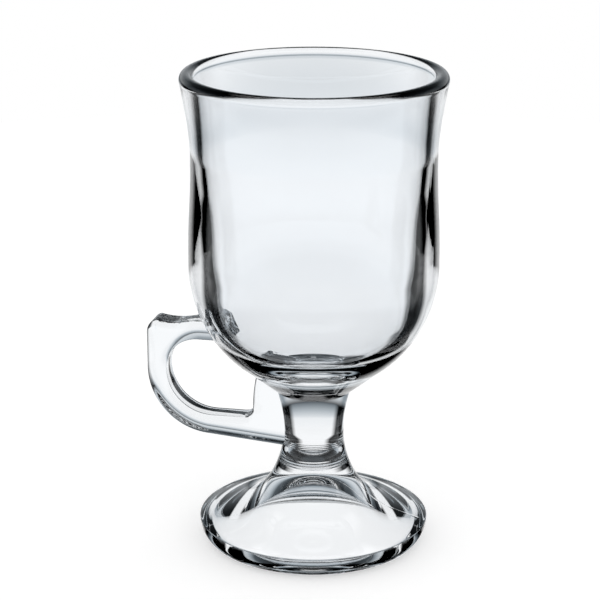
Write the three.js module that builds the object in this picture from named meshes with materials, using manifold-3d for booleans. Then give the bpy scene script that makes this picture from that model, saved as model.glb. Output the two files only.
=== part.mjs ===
// Irish coffee mug in clear pressed glass: a thick bowl on a short stem and a heavy round foot, with one
// side handle. Millimetres, +Z up. The handle points to -X and is mirror-symmetric about the XZ plane.
// The origin lies under the middle of the bounding box, on the plane that the foot rests on.

import * as THREE from 'three';
import { mergeVertices } from 'three/addons/utils/BufferGeometryUtils.js';
import Module from 'manifold-3d';

const wasm = await Module();
wasm.setup();

// Heights along the mug's axis
const height = 147;
const bowlJointHeight = 48;
const stemJointHeight = 25.4;

// Bowl, outside
const rimRadius = 39.75;
const waistRadius = 36.85;
const waistHeight = 122.5;
const bulgeRadius = 37.85;
const bulgeHeight = 88.5;
const undersideLift = 1.3;
const bowlJointRadius = 11.4;

// Bowl, inside
const lipThickness = 4.3;
const lipFlareAngle = THREE.MathUtils.degToRad(8);
const wallAtWaist = 3.85;
const cavityRoundHeight = 93;
const cavityRoundRadius = 31.4;
const cavitySideReach = 24.2;
const cavityFloorReach = 25;
const floorThickness = 11.6;

// Stem
const stemWaistRadius = 9.32;
const stemWaistHeight = 34.5;
const stemJointRadius = 10.8;

// Foot
const footRadius = 35.4;
const footEdgeHeight = 6.6;
const shoulderInset = 2.1;
const shoulderRise = 1.08;
const shoulderSlope = 0.35;
const neckReach = 14.6;
const apronReach = 8;
const ringInset = 4.5;
const ringWidth = 1.2;
const hollowDepth = 19.3;
const hollowCrownReach = 8.1;
const hollowSkirtReach = 16.2;
const hollowSkirtSlope = 0.41;

// Handle, in its own plane: reach is the distance from the mug's axis
const handleReach = 51.9;
const handleThickness = 9.4;
const handleRoundingWidth = 2.7;
const handleRoundingDepth = 4.2;
const thumbRestRise = 20.4;
const thumbRestInset = 8.4;
const thumbRestDip = 0.9;
const thumbRestRadius = 24;
const outerCornerRadius = 4.5;
const topBar = 6;
const sideBar = 6;
const lowerBar = 6.2;
const lowerBendRadius = 20.6;
const loopTopRadius = 10;
const loopCornerRadius = 2.5;
const handleRootRise = 4.1;
const webReach = 17.6;
const weldGap = 0.3;

// Fineness of the surfaces
const turns = 60;
const bendSteps = 10;
const lipSteps = 10;
const roundingSteps = 3;
const cornerSteps = 4;
const loopTopSteps = 6;
const sideSteps = 6;
const flareSteps = 5;
const innerFlareSteps = 4;
const taperSteps = 3;
const cupSteps = 20;
const stemLowerSteps = 4;
const stemUpperSteps = 5;
const hollowSteps = 12;
const edgeSteps = 6;
const turnOverSteps = 3;
const apronSteps = 9;
const dipSteps = 30;

const bowlAxis = (handleReach - rimRadius) / 2;
const thumbRestHeight = bowlJointHeight + thumbRestRise;

const glass = (color) => new THREE.MeshStandardMaterial({ color, roughness: 0.04, metalness: 0 });

// A point of a profile: distance from the axis, then height
const at = (radius, z) => new THREE.Vector2(radius, z);
const stemWaist = at(stemWaistRadius, stemWaistHeight);

// Points of an elliptical arc about (0, centre) or about any centre, between two angles
function arcPoints(centre, radiusX, radiusZ, from, to, steps) {
  const points = [];
  for (let i = 0; i <= steps; i += 1) {
    const angle = THREE.MathUtils.lerp(from, to, i / steps);
    points.push(at(centre.x + radiusX * Math.cos(angle), centre.y + radiusZ * Math.sin(angle)));
  }
  return points;
}

// Points of a smooth curve with its first and last points left to its neighbours
function between(curve, steps) {
  return curve.getPoints(steps).slice(1, -1);
}

// Angle on an ellipse, or a circle, at which a line from a point outside and below just touches it
function tangentAngle(point, centre, radiusX, radiusZ) {
  const x = (point.x - centre.x) / radiusX;
  const z = (point.y - centre.y) / radiusZ;
  return Math.atan2(z, x) + Math.acos(1 / Math.hypot(x, z));
}

// Points of the parabola that leaves a waist upright and ends at another radius and height
function parabola(waist, end, steps) {
  const points = [];
  for (let i = 1; i < steps; i += 1) {
    const t = i / steps;
    points.push(at(waist.x + (end.x - waist.x) * t * t, waist.y + (end.y - waist.y) * t));
  }
  return points;
}

// Lean of that parabola at its end
function parabolaLean(waist, end) {
  return 2 * (end.x - waist.x) / (end.y - waist.y);
}

function upright(geometry) {
  return geometry.rotateX(Math.PI / 2);
}

function revolve(profile) {
  return upright(new THREE.LatheGeometry(profile, turns));
}

// A closed geometry as a solid that can be cut
function toSolid(geometry) {
  const bare = geometry.clone();
  bare.deleteAttribute('normal');
  bare.deleteAttribute('uv');
  const merged = mergeVertices(bare, 1e-4);
  const index = merged.index.array;
  const faces = [];
  for (let i = 0; i < index.length; i += 3) {
    const [a, b, c] = [index[i], index[i + 1], index[i + 2]];
    if (a !== b && b !== c && c !== a) {
      faces.push(a, b, c);
    }
  }
  const vertProperties = new Float32Array(merged.attributes.position.array);
  return new wasm.Manifold(new wasm.Mesh({ numProp: 3, vertProperties, triVerts: new Uint32Array(faces) }));
}

function toGeometry(solid) {
  const mesh = solid.getMesh();
  const geometry = new THREE.BufferGeometry();
  geometry.setAttribute('position', new THREE.BufferAttribute(mesh.vertProperties, 3));
  geometry.setIndex(new THREE.BufferAttribute(mesh.triVerts, 1));
  geometry.computeVertexNormals();
  return geometry;
}

function piece(name, geometry, color) {
  const mesh = new THREE.Mesh(geometry, glass(color));
  mesh.name = name;
  return mesh;
}

// Outside of the bowl from the stem joint up to the lip: a cone that runs into a deep round underside,
// a bulge, a slight waist and a flared lip
function bowlOutside() {
  const joint = at(bowlJointRadius, bowlJointHeight);
  const centre = at(0, bulgeHeight);
  const depth = bulgeHeight - bowlJointHeight - undersideLift;
  const start = tangentAngle(joint, centre, bulgeRadius, depth);
  const underside = arcPoints(centre, bulgeRadius, depth, start, 0, bendSteps);
  const waist = at(waistRadius, waistHeight);
  const fall = (waistHeight - bulgeHeight) / 2;
  const side = new THREE.CubicBezierCurve(
    at(bulgeRadius, bulgeHeight),
    at(bulgeRadius, bulgeHeight + fall),
    at(waistRadius, waistHeight - fall),
    waist,
  );
  const lip = lipPoints();
  const flareRise = (lip[0].y - waistHeight) / 3;
  const flare = new THREE.QuadraticBezierCurve(waist, at(waistRadius, waistHeight + flareRise), lip[0]);
  return [joint, ...underside, ...between(side, sideSteps), waist, ...between(flare, flareSteps)];
}

// The lip is a half round that starts along the flare and ends inside the bowl
function lipPoints() {
  const half = lipThickness / 2;
  const centre = at(rimRadius - half, height - half);
  return arcPoints(centre, half, half, -lipFlareAngle, Math.PI + lipFlareAngle, lipSteps);
}

// Inside of the bowl from the lip down to the middle of its floor
function bowlInside() {
  const lip = lipPoints();
  const start = lip[lip.length - 1];
  const waist = at(waistRadius - wallAtWaist, waistHeight);
  const flare = new THREE.QuadraticBezierCurve(start, at(waist.x, (start.y + waistHeight) / 2), waist);
  const round = at(cavityRoundRadius, cavityRoundHeight);
  const taper = new THREE.LineCurve(waist, round);
  const lean = (waist.x - round.x) / (waist.y - round.y);
  const middle = at(0, bowlJointHeight + floorThickness);
  const cup = new THREE.CubicBezierCurve(
    round,
    at(round.x - lean * cavitySideReach, round.y - cavitySideReach),
    at(cavityFloorReach, middle.y),
    middle,
  );
  return [
    ...between(flare, innerFlareSteps),
    waist,
    ...between(taper, taperSteps),
    round,
    ...between(cup, cupSteps),
    middle,
  ];
}

function stemOutside() {
  const bottom = at(stemJointRadius, stemJointHeight);
  const top = at(bowlJointRadius, bowlJointHeight);
  const lower = parabola(stemWaist, bottom, stemLowerSteps).reverse();
  return [bottom, ...lower, stemWaist, ...parabola(stemWaist, top, stemUpperSteps), top];
}

// Foot from the middle of its hollow underside, over the resting ring and the round edge, up to the neck
function footProfile() {
  const ringOutside = footRadius - ringInset;
  const ringInside = ringOutside - ringWidth;
  const hollow = new THREE.CubicBezierCurve(
    at(0, hollowDepth),
    at(hollowCrownReach, hollowDepth),
    at(ringInside - hollowSkirtReach, hollowSkirtSlope * hollowSkirtReach),
    at(ringInside, 0),
  );
  const edge = arcPoints(at(ringOutside, footEdgeHeight), ringInset, footEdgeHeight, -Math.PI / 2, 0, edgeSteps);
  const shoulder = at(footRadius - shoulderInset, footEdgeHeight + shoulderRise);
  const turnOver = new THREE.QuadraticBezierCurve(
    at(footRadius, footEdgeHeight),
    at(footRadius, shoulder.y - shoulderSlope * shoulderInset),
    shoulder,
  );
  const neck = at(stemJointRadius, stemJointHeight);
  const neckLean = parabolaLean(stemWaist, neck);
  const apron = new THREE.CubicBezierCurve(
    shoulder,
    at(shoulder.x - apronReach, shoulder.y + shoulderSlope * apronReach),
    at(neck.x - neckLean * neckReach, neck.y - neckReach),
    neck,
  );
  return [
    at(0, hollowDepth),
    ...between(hollow, hollowSteps),
    at(ringInside, 0),
    ...edge,
    ...between(turnOver, turnOverSteps),
    shoulder,
    ...between(apron, apronSteps),
    neck,
    at(0, stemJointHeight),
  ];
}

function bowlSolid() {
  const profile = [at(0, bowlJointHeight), ...bowlOutside(), ...lipPoints(), ...bowlInside()];
  return revolve(profile);
}

function stemSolid() {
  return revolve([at(0, stemJointHeight), ...stemOutside(), at(0, bowlJointHeight)]);
}

// What the handle is welded on, filled and grown by the weld gap
function weldSeat() {
  const outside = [...stemOutside(), ...bowlOutside().slice(1)];
  const grown = outside.map((point) => at(point.x + weldGap, point.y));
  const seat = [at(0, stemJointHeight), ...grown, at(0, grown[grown.length - 1].y)];
  return toSolid(revolve(seat));
}

// Joins stretches of an outline and leaves out a point that only repeats the one before it
function joined(...stretches) {
  const points = [];
  for (const point of stretches.flat()) {
    const last = points[points.length - 1];
    if (!last || last.distanceTo(point) > 0.01) {
      points.push(point);
    }
  }
  return points;
}

// Outline of the handle in its plane, its ends still running on into the bowl and the stem
function handleOutline() {
  const quarter = Math.PI / 2;
  const loopTop = thumbRestHeight - topBar;
  const bendHeight = loopTop - loopTopRadius;
  const bend = at(handleReach - lowerBendRadius, bendHeight);
  const loopBend = lowerBendRadius - sideBar;
  const loopBottom = bendHeight - lowerBendRadius + lowerBar;
  const coreReach = stemWaistRadius / 2;
  const webTop = bowlJointHeight + floorThickness / 2;
  const root = at(coreReach, stemJointHeight + handleRootRise);
  const bendStart = tangentAngle(root, bend, lowerBendRadius, lowerBendRadius);
  const corner = at(handleReach - outerCornerRadius, thumbRestHeight - outerCornerRadius);
  const loopHead = at(handleReach - sideBar - loopTopRadius, bendHeight);
  const loopHeel = at(webReach + loopCornerRadius, loopBottom + loopCornerRadius);
  return new THREE.Shape(joined(
    root,
    arcPoints(bend, lowerBendRadius, lowerBendRadius, bendStart, 0, bendSteps),
    arcPoints(corner, outerCornerRadius, outerCornerRadius, 0, quarter, cornerSteps),
    at(coreReach, thumbRestHeight),
    at(coreReach, loopTop),
    arcPoints(loopHead, loopTopRadius, loopTopRadius, quarter, 0, loopTopSteps),
    arcPoints(bend, loopBend, loopBend, 0, -quarter, bendSteps),
    arcPoints(loopHeel, loopCornerRadius, loopCornerRadius, -quarter, -2 * quarter, cornerSteps),
    at(webReach, webTop),
    at(coreReach, webTop),
  ));
}

// A shape in the handle's plane made solid across it, with edges rounded inward by width and depth
function extrudeAcross(shape, thickness, width, depth) {
  const geometry = new THREE.ExtrudeGeometry(shape, {
    depth: thickness - 2 * depth,
    bevelEnabled: depth > 0,
    bevelThickness: depth,
    bevelSize: width,
    bevelOffset: -width,
    bevelSegments: roundingSteps,
    curveSegments: bendSteps,
  });
  geometry.translate(0, 0, depth - thickness / 2);
  return upright(geometry);
}

// The shallow dip for the thumb is the underside of a half round that lies across the handle's top
function thumbDip() {
  const middle = at(handleReach - thumbRestInset, thumbRestHeight - thumbRestDip + thumbRestRadius);
  const shape = new THREE.Shape(arcPoints(middle, thumbRestRadius, thumbRestRadius, -Math.PI, 0, dipSteps));
  return toSolid(extrudeAcross(shape, 2 * handleThickness, 0, 0));
}

function handleSolid() {
  const outline = handleOutline();
  const bar = toSolid(extrudeAcross(outline, handleThickness, handleRoundingWidth, handleRoundingDepth));
  const shaped = bar.subtract(weldSeat()).subtract(thumbDip());
  return toGeometry(shaped).rotateZ(Math.PI);
}

const mug = new THREE.Group();
mug.position.x = bowlAxis;
mug.add(
  piece('bowl', bowlSolid(), 0xdfe8eb),
  piece('stem', stemSolid(), 0xd3dee2),
  piece('foot', revolve(footProfile()), 0xd9e3e6),
  piece('handle', handleSolid(), 0xe6edef),
);

export default mug;
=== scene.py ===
"""Irish coffee mug in clear pressed glass: flared bowl, short stem, heavy foot, side handle."""
import math

import bmesh
import bpy
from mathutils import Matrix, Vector
from mathutils.geometry import tessellate_polygon


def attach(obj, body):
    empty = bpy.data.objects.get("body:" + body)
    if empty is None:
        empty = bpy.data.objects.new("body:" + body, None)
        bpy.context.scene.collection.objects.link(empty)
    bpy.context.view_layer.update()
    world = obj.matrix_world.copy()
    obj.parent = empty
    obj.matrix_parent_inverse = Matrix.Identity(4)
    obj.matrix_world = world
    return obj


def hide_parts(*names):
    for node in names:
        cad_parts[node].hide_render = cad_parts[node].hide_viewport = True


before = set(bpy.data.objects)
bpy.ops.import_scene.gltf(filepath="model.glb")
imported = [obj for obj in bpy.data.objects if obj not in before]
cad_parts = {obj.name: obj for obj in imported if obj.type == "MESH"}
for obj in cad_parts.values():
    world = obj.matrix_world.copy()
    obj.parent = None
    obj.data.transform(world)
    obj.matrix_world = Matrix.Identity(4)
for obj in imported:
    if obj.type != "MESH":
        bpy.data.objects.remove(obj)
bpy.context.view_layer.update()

# Camera: the photographer stands a good half metre away, a little to the handle's side, and looks
# down at the mug through a short telephoto lens. Lengths here and below are in millimetres.
MM = 0.001
AXIS_X = 6.075
CAMERA_AZIMUTH = math.radians(12)
CAMERA_DISTANCE = 588
CAMERA_HEIGHT = 266
CAMERA_SIDESTEP = 4.17
CAMERA_PITCH = math.radians(17.86)
CAMERA_LENS = 122.2

ahead = Vector((-math.sin(CAMERA_AZIMUTH), math.cos(CAMERA_AZIMUTH), 0))
right = Vector((math.cos(CAMERA_AZIMUTH), math.sin(CAMERA_AZIMUTH), 0))
camera = bpy.data.objects.new("camera", bpy.data.cameras.new("camera"))
camera.data.lens = CAMERA_LENS
camera.location = MM * (
    Vector((AXIS_X, 0, CAMERA_HEIGHT)) - CAMERA_DISTANCE * ahead - CAMERA_SIDESTEP * right
)
camera.rotation_euler = (math.pi / 2 - CAMERA_PITCH, 0, CAMERA_AZIMUTH)
bpy.context.scene.collection.objects.link(camera)
bpy.context.scene.camera = camera

# Bowl: a thick-walled tulip of clear soda-lime glass, pressed in a two-part mould and
# fire-polished at the lip, so that the inside and the lip are smooth and the outside keeps a
# faint chill ripple. Here one faint ripple runs over all of it, inside and lip as well.
HEIGHT = 147
RIM_RADIUS = 39.75
WAIST_RADIUS = 36.85
WAIST_HEIGHT = 122.5
BULGE_RADIUS = 37.85
BULGE_HEIGHT = 88.5
BOWL_JOINT_HEIGHT = 48
BOWL_JOINT_RADIUS = 11.4
UNDERSIDE_LIFT = 1.3
LIP_THICKNESS = 4.3
LIP_FLARE = math.radians(8)
WALL_AT_WAIST = 3.85
CAVITY_ROUND_HEIGHT = 93
CAVITY_ROUND_RADIUS = 31.4
CAVITY_SIDE_REACH = 24.2
CAVITY_FLOOR_REACH = 25
FLOOR_THICKNESS = 11.6
CONE_STEPS = 8
UNDERSIDE_STEPS = 48
SIDE_STEPS = 32
LIP_STEPS = 28
WALL_STEPS = 24
CAVITY_STEPS = 80
SAME_POINT = 0.01
RIPPLE_HEIGHT = 0.02
BOWL_RIPPLE_WIDTH = 11
HAZE_WIDTH = 4
HAZE_FROM, HAZE_TO = 0.4, 0.75
HAZE_ROUGHNESS = 0.02
UPWARD_FROM, UPWARD_TO = 0.6, 0.9
GLASS_COLOUR = "#FBFDFF"
GLASS_IOR = 1.52


def arc(centre, radius_x, radius_z, start, end, steps):
    """Points of an elliptical arc, both ends included."""
    return [
        (
            centre[0] + radius_x * math.cos(start + (end - start) * i / steps),
            centre[1] + radius_z * math.sin(start + (end - start) * i / steps),
        )
        for i in range(steps + 1)
    ]


def bend(points, steps):
    """Points of a Bezier curve of any order, both ends included."""
    made = []
    for i in range(steps + 1):
        t = i / steps
        row = list(points)
        while len(row) > 1:
            row = [
                ((1 - t) * a[0] + t * b[0], (1 - t) * a[1] + t * b[1])
                for a, b in zip(row, row[1:])
            ]
        made.append(row[0])
    return made


def touching(point, centre, radius_x, radius_z):
    """Angle on an ellipse at which a line from a point below and outside just touches it."""
    x = (point[0] - centre[0]) / radius_x
    z = (point[1] - centre[1]) / radius_z
    return math.atan2(z, x) + math.acos(1 / math.hypot(x, z))


def linked(*stretches):
    """One row of points from several stretches, without the repeated ends."""
    row = []
    for point in (p for stretch in stretches for p in stretch):
        if not row or math.dist(row[-1], point) > SAME_POINT:
            row.append(point)
    return row


lip_centre = (RIM_RADIUS - LIP_THICKNESS / 2, HEIGHT - LIP_THICKNESS / 2)
lip = arc(
    lip_centre,
    LIP_THICKNESS / 2,
    LIP_THICKNESS / 2,
    -LIP_FLARE,
    math.pi + LIP_FLARE,
    LIP_STEPS,
)
bowl_depth = BULGE_HEIGHT - BOWL_JOINT_HEIGHT - UNDERSIDE_LIFT
bowl_joint = (BOWL_JOINT_RADIUS, BOWL_JOINT_HEIGHT)
underside_start = touching(bowl_joint, (0, BULGE_HEIGHT), BULGE_RADIUS, bowl_depth)
underside = arc(
    (0, BULGE_HEIGHT), BULGE_RADIUS, bowl_depth, underside_start, 0, UNDERSIDE_STEPS
)
cone = bend([bowl_joint, underside[0]], CONE_STEPS)
fall = (WAIST_HEIGHT - BULGE_HEIGHT) / 2
side = bend(
    [
        (BULGE_RADIUS, BULGE_HEIGHT),
        (BULGE_RADIUS, BULGE_HEIGHT + fall),
        (WAIST_RADIUS, WAIST_HEIGHT - fall),
        (WAIST_RADIUS, WAIST_HEIGHT),
    ],
    SIDE_STEPS,
)
flare = bend(
    [side[-1], (WAIST_RADIUS, WAIST_HEIGHT + (lip[0][1] - WAIST_HEIGHT) / 3), lip[0]],
    WALL_STEPS,
)
inner_waist = (WAIST_RADIUS - WALL_AT_WAIST, WAIST_HEIGHT)
inner_flare = bend(
    [lip[-1], (inner_waist[0], (lip[-1][1] + WAIST_HEIGHT) / 2), inner_waist], WALL_STEPS
)
cavity_round = (CAVITY_ROUND_RADIUS, CAVITY_ROUND_HEIGHT)
taper = bend([inner_waist, cavity_round], WALL_STEPS)
lean = (inner_waist[0] - cavity_round[0]) / (inner_waist[1] - cavity_round[1])
cavity_middle = (0, BOWL_JOINT_HEIGHT + FLOOR_THICKNESS)
cavity_cup = bend(
    [
        cavity_round,
        (cavity_round[0] - lean * CAVITY_SIDE_REACH, cavity_round[1] - CAVITY_SIDE_REACH),
        (CAVITY_FLOOR_REACH, cavity_middle[1]),
        cavity_middle,
    ],
    CAVITY_STEPS,
)
bowl_outside = linked(cone, underside, side, flare)
bowl_profile = linked(bowl_outside, lip, inner_flare, taper, cavity_cup)


def add(tree, kind, inputs=None, **settings):
    """Adds one node, with its settings and with values or links for its inputs."""
    made = tree.nodes.new(kind)
    for name, value in settings.items():
        setattr(made, name, value)
    for name, value in (inputs or {}).items():
        if isinstance(value, bpy.types.NodeSocket):
            tree.links.new(value, made.inputs[name])
        else:
            made.inputs[name].default_value = value
    return made


def linear(colour):
    """A hex sRGB colour as the linear values that a shader wants."""
    channels = [int(colour[i : i + 2], 16) / 255 for i in (1, 3, 5)]
    return [c / 12.92 if c <= 0.04045 else ((c + 0.055) / 1.055) ** 2.4 for c in channels] + [1]


def pressed_glass(name, ripple_width, stipple_width=0, stipple_height=0, stippled_from=0):
    """Clear soda-lime glass, pressed in a chilled iron mould.

    It has hardly any colour of its own, so the eye sees what it bends and mirrors: pale middles
    and black edges. The mould's long soft ripple makes these lines swim a little, and a faint
    haze dulls them here and there. Faces that look up above a given height can carry a grip's
    stipple.
    """
    material = bpy.data.materials.new(name)
    material.use_nodes = True
    tree = material.node_tree
    tree.nodes.clear()
    place = add(tree, "ShaderNodeTexCoord").outputs["Object"]
    ripple = add(
        tree,
        "ShaderNodeTexNoise",
        {"Vector": place, "Scale": 1 / (ripple_width * MM), "Detail": 1.5, "Roughness": 0.4},
    ).outputs["Fac"]
    chill = add(
        tree,
        "ShaderNodeBump",
        {"Height": ripple, "Distance": RIPPLE_HEIGHT * MM, "Strength": 1.0},
    ).outputs["Normal"]
    if stipple_height:
        upright = add(tree, "ShaderNodeNewGeometry").outputs["Normal"]
        facing = add(tree, "ShaderNodeSeparateXYZ", {"Vector": upright}).outputs["Z"]
        up = add(
            tree,
            "ShaderNodeMapRange",
            {"Value": facing, "From Min": UPWARD_FROM, "From Max": UPWARD_TO},
        ).outputs["Result"]
        tall = add(tree, "ShaderNodeSeparateXYZ", {"Vector": place}).outputs["Z"]
        high_up = add(
            tree,
            "ShaderNodeMath",
            {0: tall, 1: stippled_from * MM},
            operation="GREATER_THAN",
        ).outputs["Value"]
        grip = add(
            tree, "ShaderNodeMath", {0: up, 1: high_up}, operation="MULTIPLY"
        ).outputs["Value"]
        dots = add(
            tree,
            "ShaderNodeTexNoise",
            {"Vector": place, "Scale": 1 / (stipple_width * MM), "Detail": 2.0},
        ).outputs["Fac"]
        raised = add(
            tree, "ShaderNodeMath", {0: dots, 1: grip}, operation="MULTIPLY"
        ).outputs["Value"]
        chill = add(
            tree,
            "ShaderNodeBump",
            {"Height": raised, "Distance": stipple_height * MM, "Normal": chill},
        ).outputs["Normal"]
    haze = add(
        tree,
        "ShaderNodeTexNoise",
        {"Vector": place, "Scale": 1 / (HAZE_WIDTH * MM), "Detail": 3.0},
    ).outputs["Fac"]
    roughness = add(
        tree,
        "ShaderNodeMapRange",
        {
            "Value": haze,
            "From Min": HAZE_FROM,
            "From Max": HAZE_TO,
            "To Min": 0.0,
            "To Max": HAZE_ROUGHNESS,
        },
    ).outputs["Result"]
    shader = add(
        tree,
        "ShaderNodeBsdfPrincipled",
        {
            "Base Color": linear(GLASS_COLOUR),
            "Roughness": roughness,
            "IOR": GLASS_IOR,
            "Transmission Weight": 1.0,
            "Normal": chill,
        },
    )
    add(tree, "ShaderNodeOutputMaterial", {"Surface": shader.outputs["BSDF"]})
    return material


bowl_glass = pressed_glass("fire_polished_soda_lime_glass", BOWL_RIPPLE_WIDTH)

# Stem: a short solid waist of the same glass between the bowl and the foot, narrowest just below
# its middle. Four fine grooves run round it at the joint with the foot, as the mould's turned
# inserts leave them.
STEM_JOINT_HEIGHT = 25.4
STEM_JOINT_RADIUS = 10.8
STEM_WAIST_RADIUS = 9.32
STEM_WAIST_HEIGHT = 34.5
GROOVE_TOP = 28
GROOVE_PITCH = 0.8
GROOVE_COUNT = 4
GROOVE_DEPTH = 0.05
GROOVED_STEPS = 90
STEM_STEPS = 20
STEM_RIPPLE_WIDTH = 9


def parabola(waist, end, steps):
    """Points of the parabola that leaves the waist upright and runs to an end."""
    return [
        (
            waist[0] + (end[0] - waist[0]) * (i / steps) ** 2,
            waist[1] + (end[1] - waist[1]) * i / steps,
        )
        for i in range(steps + 1)
    ]


def grooved(points):
    """Cuts the fine grooves round the neck, which run on across the joint of stem and foot."""
    made = []
    for radius, z in points:
        down = (GROOVE_TOP - z) / GROOVE_PITCH
        if 0 < down < GROOVE_COUNT:
            radius -= GROOVE_DEPTH * math.sin(math.pi * down) ** 2
        made.append((radius, z))
    return made


stem_waist = (STEM_WAIST_RADIUS, STEM_WAIST_HEIGHT)
neck = (STEM_JOINT_RADIUS, STEM_JOINT_HEIGHT)
stem_profile = linked(
    grooved(parabola(stem_waist, neck, GROOVED_STEPS)[::-1]),
    parabola(stem_waist, bowl_joint, STEM_STEPS),
)
stem_glass = pressed_glass("pressed_soda_lime_glass_stem", STEM_RIPPLE_WIDTH)

# Foot: a heavy round of the same glass, pressed in one with the stem, with a sloping apron, a
# rounded edge and a deep conical hollow underneath, so that the mug stands on a narrow ring. A
# fine mould seam runs down the apron.
FOOT_RADIUS = 35.4
FOOT_EDGE_HEIGHT = 6.6
SHOULDER_INSET = 2.1
SHOULDER_RISE = 1.08
SHOULDER_SLOPE = 0.35
NECK_REACH = 14.6
APRON_REACH = 8
RING_INSET = 4.5
RING_WIDTH = 1.2
HOLLOW_DEPTH = 19.3
HOLLOW_CROWN_REACH = 8.1
HOLLOW_SKIRT_REACH = 16.2
HOLLOW_SKIRT_SLOPE = 0.41
SEAM_HEIGHT = 0.1
SEAM_ANGLE = math.radians(0.35)
HOLLOW_STEPS = 48
FOOT_RING_STEPS = 3
FOOT_EDGE_STEPS = 28
TURN_OVER_STEPS = 12
APRON_STEPS = 480
PLAIN_APRON_STEPS = 460
PLAIN_APRON_STRIDE = 10
FOOT_RIPPLE_WIDTH = 10

ring_outside = FOOT_RADIUS - RING_INSET
ring_inside = ring_outside - RING_WIDTH
hollow = bend(
    [
        (0, HOLLOW_DEPTH),
        (HOLLOW_CROWN_REACH, HOLLOW_DEPTH),
        (ring_inside - HOLLOW_SKIRT_REACH, HOLLOW_SKIRT_SLOPE * HOLLOW_SKIRT_REACH),
        (ring_inside, 0),
    ],
    HOLLOW_STEPS,
)
foot_ring = bend([(ring_inside, 0), (ring_outside, 0)], FOOT_RING_STEPS)
foot_edge = arc(
    (ring_outside, FOOT_EDGE_HEIGHT),
    RING_INSET,
    FOOT_EDGE_HEIGHT,
    -math.pi / 2,
    0,
    FOOT_EDGE_STEPS,
)
shoulder = (FOOT_RADIUS - SHOULDER_INSET, FOOT_EDGE_HEIGHT + SHOULDER_RISE)
turn_over = bend(
    [foot_edge[-1], (FOOT_RADIUS, shoulder[1] - SHOULDER_SLOPE * SHOULDER_INSET), shoulder],
    TURN_OVER_STEPS,
)
neck_lean = 2 * (neck[0] - stem_waist[0]) / (neck[1] - stem_waist[1])
fine_apron = bend(
    [
        shoulder,
        (shoulder[0] - APRON_REACH, shoulder[1] + SHOULDER_SLOPE * APRON_REACH),
        (neck[0] - neck_lean * NECK_REACH, neck[1] - NECK_REACH),
        neck,
    ],
    APRON_STEPS,
)
apron = linked(
    fine_apron[:PLAIN_APRON_STEPS:PLAIN_APRON_STRIDE], grooved(fine_apron[PLAIN_APRON_STEPS:])
)
foot_profile = linked(hollow, foot_ring, foot_edge, turn_over, apron)
foot_glass = pressed_glass("pressed_soda_lime_glass_foot", FOOT_RIPPLE_WIDTH)

# Handle: a flat bent bar of the same glass with rounded edges, pressed in the same mould. It
# leaves the side of the bowl level, turns down, and curves back under the bowl into a web on the
# stem. The thumb lies in a shallow dip.
HANDLE_REACH = 51.9
HANDLE_THICKNESS = 9.4
HANDLE_ROUNDING_WIDTH = 2.7
HANDLE_ROUNDING_DEPTH = 1.6
THUMB_REST_RISE = 20.4
THUMB_REST_INSET = 8.4
THUMB_REST_DIP = 0.9
THUMB_REST_RADIUS = 24
OUTER_CORNER_RADIUS = 4.5
TOP_BAR = 6
SIDE_BAR = 6
LOWER_BAR = 6.2
LOWER_BEND_RADIUS = 20.6
LOOP_TOP_RADIUS = 10
LOOP_CORNER_RADIUS = 3.8
BAR_ROOT_REACH = 27
HANDLE_ROOT_RISE = 4.1
WEB_REACH = 18.4
WEB_TOP_REACH = 16.9
STRAIGHT_STEPS = 12
UPRIGHT_STEPS = 8
LOWER_BEND_STEPS = 48
CORNER_STEPS = 16
THUMB_REST_STEPS = 60
BAR_ROOT_STEPS = 16
LOOP_TOP_STEPS = 24
LOOP_BEND_STEPS = 36
LOOP_CORNER_STEPS = 10
ROUNDING_STEPS = 10
MITRE_LIMIT = 0.3
HANDLE_RIPPLE_WIDTH = 9

thumb_rest_height = BOWL_JOINT_HEIGHT + THUMB_REST_RISE
dip_x = HANDLE_REACH - THUMB_REST_INSET
dip_z = thumb_rest_height - THUMB_REST_DIP + THUMB_REST_RADIUS


def with_dip(points):
    """Lowers the points that lie above the thumb's dip onto it."""
    made = []
    for x, z in points:
        if abs(x - dip_x) < THUMB_REST_RADIUS:
            z = min(z, dip_z - math.sqrt(THUMB_REST_RADIUS**2 - (x - dip_x) ** 2))
        made.append((x, z))
    return made


loop_top = thumb_rest_height - TOP_BAR
bend_height = loop_top - LOOP_TOP_RADIUS
bend_centre = (HANDLE_REACH - LOWER_BEND_RADIUS, bend_height)
loop_bend = LOWER_BEND_RADIUS - SIDE_BAR
loop_bottom = bend_height - LOWER_BEND_RADIUS + LOWER_BAR
core_reach = STEM_WAIST_RADIUS / 2
web_top = BOWL_JOINT_HEIGHT + FLOOR_THICKNESS / 2
handle_root = (core_reach, STEM_JOINT_HEIGHT + HANDLE_ROOT_RISE)
bend_start = touching(handle_root, bend_centre, LOWER_BEND_RADIUS, LOWER_BEND_RADIUS)
bend_foot = arc(bend_centre, LOWER_BEND_RADIUS, LOWER_BEND_RADIUS, bend_start, 0, 1)[0]
corner_centre = (
    HANDLE_REACH - OUTER_CORNER_RADIUS,
    thumb_rest_height - OUTER_CORNER_RADIUS,
)
loop_head = (HANDLE_REACH - SIDE_BAR - LOOP_TOP_RADIUS, bend_height)
loop_heel = (WEB_REACH + LOOP_CORNER_RADIUS, loop_bottom + LOOP_CORNER_RADIUS)
quarter = math.pi / 2
corner = arc(corner_centre, OUTER_CORNER_RADIUS, OUTER_CORNER_RADIUS, 0, quarter, CORNER_STEPS)
thumb_rest = bend(
    [(corner_centre[0], thumb_rest_height), (BAR_ROOT_REACH, thumb_rest_height)],
    THUMB_REST_STEPS,
)
web_edge = [
    (WEB_REACH, loop_heel[1]),
    (WEB_REACH, BOWL_JOINT_HEIGHT),
    (WEB_TOP_REACH, web_top),
]
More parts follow.
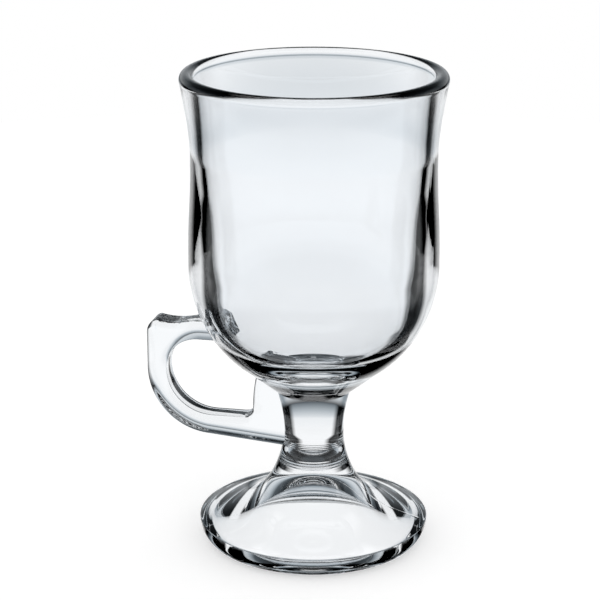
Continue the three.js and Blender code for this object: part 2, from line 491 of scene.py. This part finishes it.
handle_outline = linked(
    bend([handle_root, bend_foot], STRAIGHT_STEPS),
    arc(bend_centre, LOWER_BEND_RADIUS, LOWER_BEND_RADIUS, bend_start, 0, LOWER_BEND_STEPS),
    bend([(HANDLE_REACH, bend_height), (HANDLE_REACH, corner_centre[1])], UPRIGHT_STEPS),
    with_dip(corner),
    with_dip(thumb_rest),
    bend([(BAR_ROOT_REACH, loop_top), (loop_head[0], loop_top)], BAR_ROOT_STEPS),
    arc(loop_head, LOOP_TOP_RADIUS, LOOP_TOP_RADIUS, quarter, 0, LOOP_TOP_STEPS),
    arc(bend_centre, loop_bend, bend_height - loop_bottom, 0, -quarter, LOOP_BEND_STEPS),
    bend([(bend_centre[0], loop_bottom), (loop_heel[0], loop_bottom)], STRAIGHT_STEPS),
    arc(
        loop_heel,
        LOOP_CORNER_RADIUS,
        LOOP_CORNER_RADIUS,
        -quarter,
        -2 * quarter,
        LOOP_CORNER_STEPS,
    ),
    bend(web_edge, UPRIGHT_STEPS),
    [(core_reach, web_top)],
)

# A pressed grip's grain of a few tenths of a millimetre is about as fine as a pixel of the
# picture, so it is drawn coarser, to show. Only the top of the bar has it.
STIPPLE_WIDTH = 0.9
STIPPLE_HEIGHT = 0.25
handle_glass = pressed_glass(
    "pressed_soda_lime_glass_handle",
    HANDLE_RIPPLE_WIDTH,
    STIPPLE_WIDTH,
    STIPPLE_HEIGHT,
    loop_top + TOP_BAR / 2,
)


def inset(outline, width):
    """The outline moved inward, each point along its own mitre."""
    made = []
    for i, (x, z) in enumerate(outline):
        before, after = outline[i - 1], outline[(i + 1) % len(outline)]
        arriving = math.atan2(z - before[1], x - before[0])
        leaving = math.atan2(after[1] - z, after[0] - x)
        half = math.remainder(leaving - arriving, 2 * math.pi) / 2
        inward = arriving + half + quarter
        reach = width / max(math.cos(half), MITRE_LIMIT)
        made.append((x + reach * math.cos(inward), z + reach * math.sin(inward)))
    return made


# The numbers that the four glasses have in the casting.
BOWL, STEM, FOOT, HANDLE = range(4)


def handle_bar():
    """The outline as a flat bar with rounded edges, as one closed mesh."""
    layers = []
    for i in range(ROUNDING_STEPS + 1):
        lean = quarter * i / ROUNDING_STEPS
        width = HANDLE_ROUNDING_WIDTH * (1 - math.cos(lean))
        depth = HANDLE_THICKNESS / 2 - HANDLE_ROUNDING_DEPTH * (1 - math.sin(lean))
        layers.append((inset(handle_outline, width), depth))
    layers = [(row, -depth) for row, depth in layers[::-1]] + layers
    work = bmesh.new()
    rings = [
        [work.verts.new(((AXIS_X - x) * MM, y * MM, z * MM)) for x, z in row]
        for row, y in layers
    ]
    count = len(handle_outline)
    for low, high in zip(rings, rings[1:]):
        for i in range(count):
            work.faces.new([low[i], low[(i + 1) % count], high[(i + 1) % count], high[i]])
    for ring in (rings[0], rings[-1]):
        flat = [Vector((v.co.x, v.co.z, 0)) for v in ring]
        for corners in tessellate_polygon([flat]):
            work.faces.new([ring[c] for c in corners])
    bmesh.ops.recalc_face_normals(work, faces=work.faces)
    for face in work.faces:
        face.material_index = HANDLE
        face.smooth = True
    mesh = bpy.data.meshes.new("handle_bar")
    work.to_mesh(mesh)
    work.free()
    return mesh


# The pressing: bowl, stem, foot and handle are one casting of hot glass. They are joined here
# without a gap inside, and then parted again along their joints, so that light passes from one
# into the next unbent.
TURNS = 256
ON_AXIS = 1e-6
EDGE_ANGLE = math.radians(32)
FLAT_FACE = 0.9999

around_angles = [2 * math.pi * i / TURNS for i in range(TURNS)]
around_angles[1:1] = [SEAM_ANGLE]
around_angles += [2 * math.pi - SEAM_ANGLE]
seam_bottom = apron[0][1]
seam_top = GROOVE_TOP - GROOVE_COUNT * GROOVE_PITCH


def turned():
    """Bowl, stem and foot as one closed turned body, each with its own material index."""
    rows = [(point, FOOT) for point in foot_profile[:-1]]
    rows += [(point, STEM) for point in stem_profile[:-1]]
    rows += [(point, BOWL) for point in bowl_profile]
    work = bmesh.new()
    rings = []
    for (radius, z), part in rows:
        if radius < ON_AXIS:
            rings.append([work.verts.new((AXIS_X * MM, 0, z * MM))])
            continue
        ring = []
        seamed = part == FOOT and seam_bottom <= z < seam_top
        for angle in around_angles:
            reach = radius + (SEAM_HEIGHT if seamed and angle == 0 else 0)
            x, y = AXIS_X + reach * math.cos(angle), reach * math.sin(angle)
            ring.append(work.verts.new((x * MM, y * MM, z * MM)))
        rings.append(ring)
    count = len(around_angles)
    for (_, part), low, high in zip(rows, rings, rings[1:]):
        for i in range(count):
            j = (i + 1) % count
            if len(low) == 1:
                corners = [low[0], high[j], high[i]]
            elif len(high) == 1:
                corners = [low[i], low[j], high[0]]
            else:
                corners = [low[i], low[j], high[j], high[i]]
            face = work.faces.new(corners)
            face.material_index = part
            face.smooth = True
    bmesh.ops.recalc_face_normals(work, faces=work.faces)
    mesh = bpy.data.meshes.new("turned")
    work.to_mesh(mesh)
    work.free()
    return mesh


body = bpy.data.objects.new("body", turned())
bar = bpy.data.objects.new("bar", handle_bar())
for solid in (body, bar):
    bpy.context.scene.collection.objects.link(solid)
for glass in (bowl_glass, stem_glass, foot_glass, handle_glass):
    body.data.materials.append(glass)
    bar.data.materials.append(glass)
weld = body.modifiers.new("weld", "BOOLEAN")
weld.operation = "UNION"
weld.solver = "MANIFOLD"
weld.object = bar
bpy.context.view_layer.update()
evaluated = body.evaluated_get(bpy.context.evaluated_depsgraph_get())
whole = bpy.data.meshes.new_from_object(evaluated)
for solid in (body, bar):
    bpy.data.objects.remove(solid)

work = bmesh.new()
work.from_mesh(whole)
for edge in work.edges:
    edge.smooth = len(edge.link_faces) == 2 and edge.calc_face_angle(0) < EDGE_ANGLE
for face in work.faces:
    face.smooth = True
work.to_mesh(whole)
work.free()
shaded = bpy.data.objects.new("shaded", whole)
bpy.context.scene.collection.objects.link(shaded)
even = shaded.modifiers.new("even", "WEIGHTED_NORMAL")
even.keep_sharp = True
bpy.context.view_layer.update()
evaluated = shaded.evaluated_get(bpy.context.evaluated_depsgraph_get())
whole = bpy.data.meshes.new_from_object(evaluated)
bpy.data.objects.remove(shaded)

# The handle's two flat faces are given their own normals, or the long thin triangles in them would
# show as streaks.
normals = [normal.vector.copy() for normal in whole.corner_normals]
for polygon in whole.polygons:
    if polygon.material_index == HANDLE and abs(polygon.normal.y) > FLAT_FACE:
        for corner_index in polygon.loop_indices:
            normals[corner_index] = polygon.normal.copy()

parts = (
    (BOWL, "bowl", bowl_glass),
    (STEM, "stem", stem_glass),
    (FOOT, "foot", foot_glass),
    (HANDLE, "handle", handle_glass),
)
for index, name, glass in parts:
    kept = [p for p in whole.polygons if p.material_index == index]
    used = sorted({v for p in kept for v in p.vertices})
    order = {v: i for i, v in enumerate(used)}
    mesh = bpy.data.meshes.new(name + "_glass")
    mesh.from_pydata(
        [whole.vertices[v].co for v in used],
        [],
        [[order[v] for v in p.vertices] for p in kept],
    )
    mesh.polygons.foreach_set("use_smooth", [True] * len(mesh.polygons))
    mesh.normals_split_custom_set([normals[c] for p in kept for c in p.loop_indices])
    mesh.materials.append(glass)
    piece = bpy.data.objects.new(name + "_glass", mesh)
    bpy.context.scene.collection.objects.link(piece)
    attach(piece, "root")
    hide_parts(name)

# Studio: a sweep of white paper behind and under the mug between black boards, which draw the
# glass's edges dark. It is laid out from the photographer's place and stands still in the room.
# The floor keeps the mug's soft shadow, and the glass sees the sweep's light in its place.
FLOOR_RADIUS = 600
FLOOR_SEGMENTS = 96
FLOOR_DROP = 0.2
PAPER_COLOUR = "#E6E6E6"
PAPER_GLOW = 0.46
ROOM_LIGHT = 0.8
SHADE_RED = 0.83
SHADE_BLUE = 1.13
SWEEP_NARROWS_FROM = math.radians(-25)
SWEEP_NARROW_AT = math.radians(-29)
SWEEP_NARROWS_BY = math.radians(12)

floor_mesh = bpy.data.meshes.new("floor")
work = bmesh.new()
bmesh.ops.create_circle(
    work, cap_ends=True, segments=FLOOR_SEGMENTS, radius=FLOOR_RADIUS * MM
)
work.to_mesh(floor_mesh)
work.free()
floor = bpy.data.objects.new("floor", floor_mesh)
floor.location.z = -FLOOR_DROP * MM
bpy.context.scene.collection.objects.link(floor)
floor.visible_transmission = False
floor.visible_glossy = False
paper = bpy.data.materials.new("white_paper_sweep")
paper.use_nodes = True
tree = paper.node_tree
tree.nodes.clear()
rays = add(tree, "ShaderNodeLightPath").outputs["Is Camera Ray"]
pale = add(tree, "ShaderNodeBsdfDiffuse", {"Color": linear(PAPER_COLOUR)}).outputs["BSDF"]
glow = add(tree, "ShaderNodeMath", {0: rays, 1: PAPER_GLOW}, operation="MULTIPLY").outputs["Value"]
lift = add(tree, "ShaderNodeEmission", {"Strength": glow}).outputs["Emission"]
both = add(tree, "ShaderNodeAddShader", {0: pale, 1: lift}).outputs["Shader"]
add(tree, "ShaderNodeOutputMaterial", {"Surface": both})
floor_mesh.materials.append(paper)

world = bpy.data.worlds.new("studio")
bpy.context.scene.world = world
world.use_nodes = True
tree = world.node_tree
tree.nodes.clear()
toward = add(tree, "ShaderNodeTexCoord").outputs["Generated"]
along = add(
    tree, "ShaderNodeVectorMath", {0: toward, 1: ahead}, operation="DOT_PRODUCT"
).outputs["Value"]
across = add(
    tree, "ShaderNodeVectorMath", {0: toward, 1: right}, operation="DOT_PRODUCT"
).outputs["Value"]
turn = add(tree, "ShaderNodeMath", {0: across, 1: along}, operation="ARCTAN2").outputs["Value"]
side_turn = add(tree, "ShaderNodeMath", {0: turn}, operation="ABSOLUTE").outputs["Value"]
rise = add(tree, "ShaderNodeSeparateXYZ", {"Vector": toward}).outputs["Z"]
tilt = add(tree, "ShaderNodeMath", {0: rise}, operation="ARCSINE").outputs["Value"]
height_share = add(
    tree, "ShaderNodeMapRange", {"Value": tilt, "From Min": -quarter, "From Max": quarter}
).outputs["Result"]


def lit(position, stops):
    """Light levels along a share from 0 to 1, bluish where the light falls off."""
    made = add(tree, "ShaderNodeValToRGB", {"Fac": position})
    elements = made.color_ramp.elements
    while len(elements) < len(stops):
        elements.new(0.5)
    for element, (where, light) in zip(elements, stops):
        element.position = where
        red = light * (SHADE_RED + (1 - SHADE_RED) * light)
        blue = light * (SHADE_BLUE + (1 - SHADE_BLUE) * light)
        element.color = (red, light, blue, 1)
    return made.outputs["Color"]


def lit_by_height(*stops):
    """Light levels by degrees over the horizon, from -90 to 90."""
    return lit(height_share, [(degrees / 180 + 0.5, light) for degrees, light in stops])


def lit_by_turn(turn_share, *stops):
    """Light levels by degrees of turn away from straight ahead, from 0 to 180."""
    return lit(turn_share, [(degrees / 180, light) for degrees, light in stops])


around = add(
    tree, "ShaderNodeMath", {0: side_turn, 1: math.pi}, operation="DIVIDE"
).outputs["Value"]

# The sweep, with a board on either side. It fades out towards the horizon, and the boards stand
# closer together where it runs under the mug.
narrowing = add(
    tree,
    "ShaderNodeMapRange",
    {
        "Value": tilt,
        "From Min": SWEEP_NARROW_AT,
        "From Max": SWEEP_NARROWS_FROM,
        "To Min": SWEEP_NARROWS_BY,
        "To Max": 0.0,
    },
    interpolation_type="SMOOTHSTEP",
).outputs["Result"]
widened = add(
    tree, "ShaderNodeMath", {0: side_turn, 1: narrowing}, operation="ADD"
).outputs["Value"]
share = add(
    tree, "ShaderNodeMath", {0: widened, 1: math.pi}, operation="DIVIDE"
).outputs["Value"]
between_boards = lit_by_turn(share, (0, 1), (28, 1), (38, 0), (180, 0))
paper_light = lit_by_height(
    (-90, 0),
    (-59, 0),
    (-54, 1),
    (-20, 1),
    (-16, 0.96),
    (-12.4, 0.92),
    (-11.2, 0.79),
    (-8, 0.53),
    (-4, 0.22),
    (-2, 0),
    (90, 0),
)
sweep = add(
    tree, "ShaderNodeVectorMath", {0: between_boards, 1: paper_light}, operation="MULTIPLY"
).outputs["Vector"]

# A wide softbox just over the horizon, which lights the rim, and a strip of light on the ceiling.
softbox_reach = lit_by_turn(
    around, (0, 1), (35, 1), (48, 0.5), (60, 0.75), (105, 0.6), (130, 0.1), (180, 0.1)
)
softbox_light = lit_by_height(
    (-90, 0), (-4, 0), (1, 0.75), (10, 0.65), (18, 0.4), (25, 0.1), (50, 0), (90, 0)
)
softbox = add(
    tree, "ShaderNodeVectorMath", {0: softbox_reach, 1: softbox_light}, operation="MULTIPLY"
).outputs["Vector"]
strip_reach = lit_by_turn(around, (0, 1), (60, 1), (80, 0.05), (180, 0.05))
strip_light = lit_by_height((-90, 0), (50, 0), (56, 1), (70, 1), (78, 0), (90, 0))
strip = add(
    tree, "ShaderNodeVectorMath", {0: strip_reach, 1: strip_light}, operation="MULTIPLY"
).outputs["Vector"]

# Pale walls beyond the boards and behind the camera, and a trace of light from under the table.
beyond_boards = lit_by_turn(around, (0, 0), (64, 0), (70, 1), (180, 1))
wall_light = lit_by_height((-90, 0), (-31, 0), (-25, 0.8), (1, 0.8), (6, 0), (90, 0))
walls = add(
    tree, "ShaderNodeVectorMath", {0: beyond_boards, 1: wall_light}, operation="MULTIPLY"
).outputs["Vector"]
under_table = lit_by_height((-90, 0.04), (-76, 0.04), (-68, 0), (90, 0))

seen = sweep
for source in (softbox, strip, walls, under_table):
    seen = add(
        tree, "ShaderNodeVectorMath", {0: seen, 1: source}, operation="MAXIMUM"
    ).outputs["Vector"]

# The camera sees plain white past the mug, and the floor is lit evenly from all round.
path = add(tree, "ShaderNodeLightPath")
through = add(
    tree,
    "ShaderNodeMath",
    {0: path.outputs["Is Glossy Ray"], 1: path.outputs["Is Transmission Ray"]},
    operation="MAXIMUM",
).outputs["Value"]
plain = add(
    tree,
    "ShaderNodeMapRange",
    {"Value": path.outputs["Is Camera Ray"], "To Min": ROOM_LIGHT, "To Max": 1.0},
).outputs["Result"]
light = add(
    tree,
    "ShaderNodeMix",
    {"Factor": through, "A": plain, "B": seen},
    data_type="VECTOR",
)
backdrop = add(tree, "ShaderNodeBackground", {"Color": light.outputs["Result"]})
add(tree, "ShaderNodeOutputWorld", {"Surface": backdrop.outputs["Background"]})

bpy.context.scene.view_settings.view_transform = "Standard"
